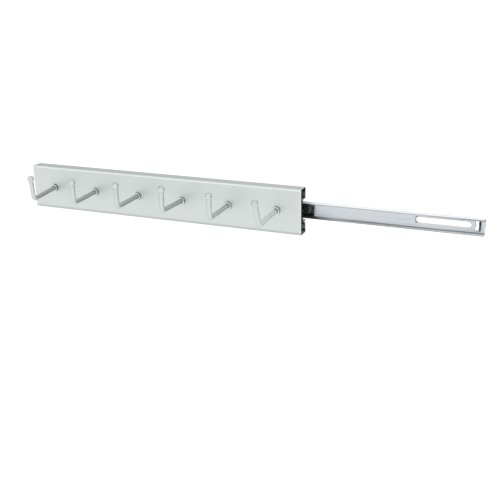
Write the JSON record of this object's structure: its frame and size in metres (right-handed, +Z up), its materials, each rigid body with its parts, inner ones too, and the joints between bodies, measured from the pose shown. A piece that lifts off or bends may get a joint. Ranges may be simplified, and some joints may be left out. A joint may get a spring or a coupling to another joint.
{
  "type": "sliding belt rack",
  "caption": "Pull-out belt rack: a satin bar with upturned hooks rides on a ball-bearing slide whose rail screws to a wardrobe side.",
  "frame": {"origin": "middle of the wall rail's back face, on the wall, midway between its two screw slots", "axes": "+X along the rack to the right, the way the pulled-out rack slides home; +Y into the wall; +Z up"},
  "size_m": [0.551, 0.0724, 0.0562],
  "materials": {
    "cover_satin": "satin, brushed along its length",
    "hook_nickel": "satin nickel",
    "slide_zinc": "bright zinc plate",
    "fastener_zinc": "bright zinc plate",
    "ball_steel": "polished",
    "lever_plastic": "moulded, satin",
    "bumper_rubber": "matt"
  },
  "bodies": {
    "wall_side": {"wall_rail": "slide_zinc", "lever_rivet": "fastener_zinc"},
    "rack": {"face_cover": "cover_satin", "hook_1": "hook_nickel", "hook_2": "hook_nickel", "hook_3": "hook_nickel", "hook_4": "hook_nickel", "hook_5": "hook_nickel", "hook_6": "hook_nickel", "hook_collar_1": "hook_nickel", "hook_collar_2": "hook_nickel", "hook_collar_3": "hook_nickel", "hook_collar_4": "hook_nickel", "hook_collar_5": "hook_nickel", "hook_collar_6": "hook_nickel", "hook_washers": "fastener_zinc", "hook_nuts": "fastener_zinc", "slide_outer_member": "slide_zinc", "slide_standoffs": "fastener_zinc", "slide_screws": "fastener_zinc", "end_bumper": "bumper_rubber"},
    "cage": {"ball_cage": "slide_zinc", "upper_balls": "ball_steel", "lower_balls": "ball_steel"},
    "lever": {"release_lever": "lever_plastic"}
  },
  "joints": [
    {"name": "rack_slide", "type": "slide", "parent": "wall_side", "child": "rack", "axis": [1, 0, 0], "range_m": [0, 0.199]},
    {"name": "cage_slide", "type": "slide", "parent": "wall_side", "child": "cage", "axis": [1, 0, 0], "range_m": [0, 0.0995]},
    {"name": "lever_press", "type": "hinge", "parent": "wall_side", "child": "lever", "pos_m": [-0.077, -0.004, 0], "axis": [0, 1, 0], "range_deg": [0, 2], "stiffness_Nm_per_rad": 0.8}
  ],
  "couplings": [
    {"joint": "cage_slide", "follows": "rack_slide", "ratio": 0.5}
  ]
}
